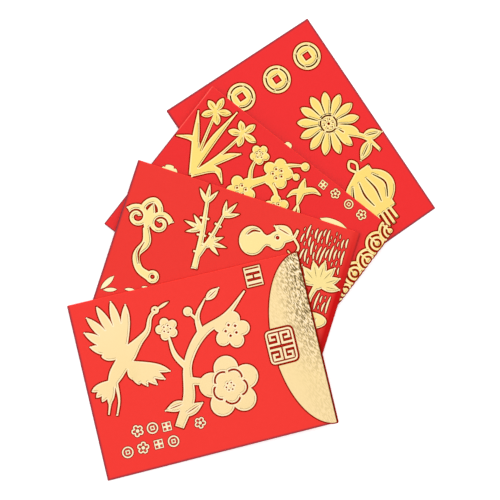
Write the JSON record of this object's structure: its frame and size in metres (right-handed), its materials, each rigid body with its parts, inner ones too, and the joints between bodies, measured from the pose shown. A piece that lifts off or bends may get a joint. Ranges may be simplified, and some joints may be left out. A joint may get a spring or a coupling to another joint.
{
  "type": "fanned gift money envelopes",
  "caption": "Small red paper gift envelopes with gold foil fronts, fanned out flat one on another, each with a folded closure flap.",
  "frame": {"origin": "under the middle of the whole fan, on the table that it lies on", "axes": "+Z up from the table; +X to the right and +Y up in the picture, +Y along the fan's longest side"},
  "size_m": [0.1872, 0.233, 0.0065],
  "materials": {
    "red_paper": "smooth satin paper, red outside and white inside",
    "gold_foil": "hot-pressed pale gold foil with a soft gloss",
    "dried_glue": "dried paper glue"
  },
  "bodies": {
    "envelope_4": {"front_panel_4": "red_paper", "side_crease_4": "red_paper", "back_panel_4": "red_paper", "seam_tab_4": "red_paper", "bottom_crease_4": "red_paper", "bottom_tab_4": "red_paper", "mouth_crease_4": "red_paper", "seam_glue_4": "dried_glue", "bottom_glue_4": "dried_glue", "coin_foil_a_4": "gold_foil", "coin_foil_b_4": "gold_foil", "coin_foil_c_4": "gold_foil", "chrysanthemum_foil_4": "gold_foil", "lantern_foil_4": "gold_foil"},
    "flap_4": {"closure_flap_4": "red_paper"},
    "envelope_3": {"front_panel_3": "red_paper", "side_crease_3": "red_paper", "back_panel_3": "red_paper", "seam_tab_3": "red_paper", "bottom_crease_3": "red_paper", "bottom_tab_3": "red_paper", "mouth_crease_3": "red_paper", "seam_glue_3": "dried_glue", "bottom_glue_3": "dried_glue", "orchid_foil_3": "gold_foil", "plum_foil_3": "gold_foil", "swallow_foil_3": "gold_foil", "wave_foil_3": "gold_foil"},
    "flap_3": {"closure_flap_3": "red_paper"},
    "envelope_2": {"front_panel_2": "red_paper", "side_crease_2": "red_paper", "back_panel_2": "red_paper", "seam_tab_2": "red_paper", "bottom_crease_2": "red_paper", "bottom_tab_2": "red_paper", "mouth_crease_2": "red_paper", "seam_glue_2": "dried_glue", "bottom_glue_2": "dried_glue", "ruyi_foil_2": "gold_foil", "bamboo_foil_2": "gold_foil", "gourd_foil_2": "gold_foil", "lotus_foil_2": "gold_foil"},
    "flap_2": {"closure_flap_2": "red_paper"},
    "envelope_1": {"front_panel_1": "red_paper", "side_crease_1": "red_paper", "back_panel_1": "red_paper", "seam_tab_1": "red_paper", "bottom_crease_1": "red_paper", "bottom_tab_1": "red_paper", "mouth_crease_1": "red_paper", "seam_glue_1": "dried_glue", "bottom_glue_1": "dried_glue", "half_moon_foil_1": "gold_foil", "seal_foil_1": "gold_foil", "stamp_foil_1": "gold_foil", "bough_foil_1": "gold_foil", "crane_foil_1": "gold_foil"},
    "flap_1": {"closure_flap_1": "red_paper"}
  },
  "joints": [
    {"name": "envelope_3_lift", "type": "slide", "parent": "envelope_4", "child": "envelope_3", "axis": [0, 0, 1], "range_m": [0, 0.1]},
    {"name": "envelope_2_lift", "type": "slide", "parent": "envelope_3", "child": "envelope_2", "axis": [0, 0, 1], "range_m": [0, 0.1]},
    {"name": "envelope_1_lift", "type": "slide", "parent": "envelope_2", "child": "envelope_1", "axis": [0, 0, 1], "range_m": [0, 0.1]},
    {"name": "flap_4_fold", "type": "hinge", "parent": "envelope_4", "child": "flap_4", "pos_m": [-0.00934, 0.09201, 0.00056], "axis": [0.8231, 0.5678, 0], "range_deg": [0, 170]},
    {"name": "flap_3_fold", "type": "hinge", "parent": "envelope_3", "child": "flap_3", "pos_m": [0.04432, -0.02711, 0.00266], "axis": [-0.6067, -0.7935, -0.0477], "range_deg": [0, 170]},
    {"name": "flap_2_fold", "type": "hinge", "parent": "envelope_2", "child": "flap_2", "pos_m": [0.03985, -0.03584, 0.0035], "axis": [-0.2987, -0.9531, -0.0482], "range_deg": [0, 170]},
    {"name": "flap_1_fold", "type": "hinge", "parent": "envelope_1", "child": "flap_1", "pos_m": [0.03108, -0.04623, 0.00502], "axis": [0.2351, -0.9718, -0.0188], "range_deg": [0, 170]}
  ],
  "couplings": [
    {"joint": "flap_3_fold", "follows": "envelope_3_lift", "rad_per_m": 29.6},
    {"joint": "flap_2_fold", "follows": "envelope_2_lift", "rad_per_m": 29.6},
    {"joint": "flap_1_fold", "follows": "envelope_1_lift", "rad_per_m": 29.6}
  ]
}
